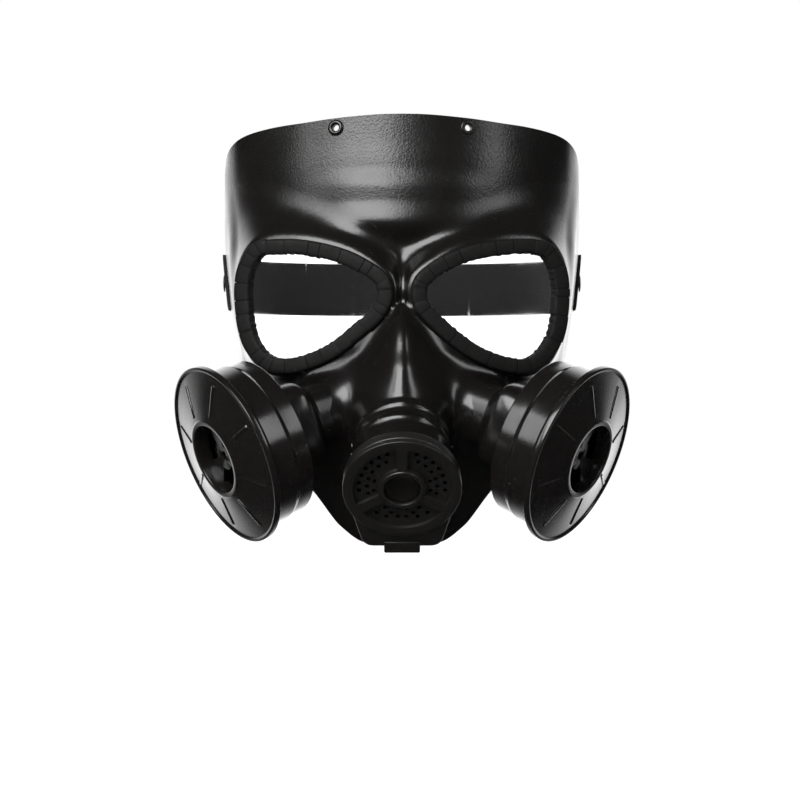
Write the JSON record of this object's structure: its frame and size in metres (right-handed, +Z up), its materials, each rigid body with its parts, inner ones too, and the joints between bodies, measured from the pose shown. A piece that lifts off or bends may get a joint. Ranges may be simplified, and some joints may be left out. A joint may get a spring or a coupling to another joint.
{
  "type": "gas mask style costume mask",
  "caption": "Glossy full-face costume mask in the style of a gas mask, with edged goggle windows, a ribbed snout and grille, side canisters on short necks and an elastic head strap.",
  "frame": {"origin": "the point on the centre line where the forehead panel's inner wall bears on the wearer", "axes": "+Z up, -Y the way the mask faces, +X to the right of a front view"},
  "size_m": [0.2208, 0.2631, 0.2115],
  "materials": {
    "shell": "glossy moulded plastic with a fine orange-peel grain",
    "canister": "semi-gloss moulded plastic",
    "snout": "satin moulded plastic",
    "edging": "matte notched edging strip",
    "film": "clear, lightly scratched plastic film",
    "strap": "woven elastic",
    "rivet": "smooth plastic"
  },
  "bodies": {
    "root": {"face_shell": "shell", "muzzle_collar": "snout", "muzzle_grille": "snout", "valve_button": "shell", "eye_trim_left": "edging", "eye_trim_right": "edging", "lens_left": "film", "lens_right": "film", "filter_neck_left": "shell", "filter_neck_right": "shell", "filter_drum_left": "canister", "filter_drum_right": "canister", "filter_cover_left": "canister", "filter_cover_right": "canister", "head_strap": "strap", "strap_rivet_left": "rivet", "strap_rivet_right": "rivet"}
  },
  "joints": []
}
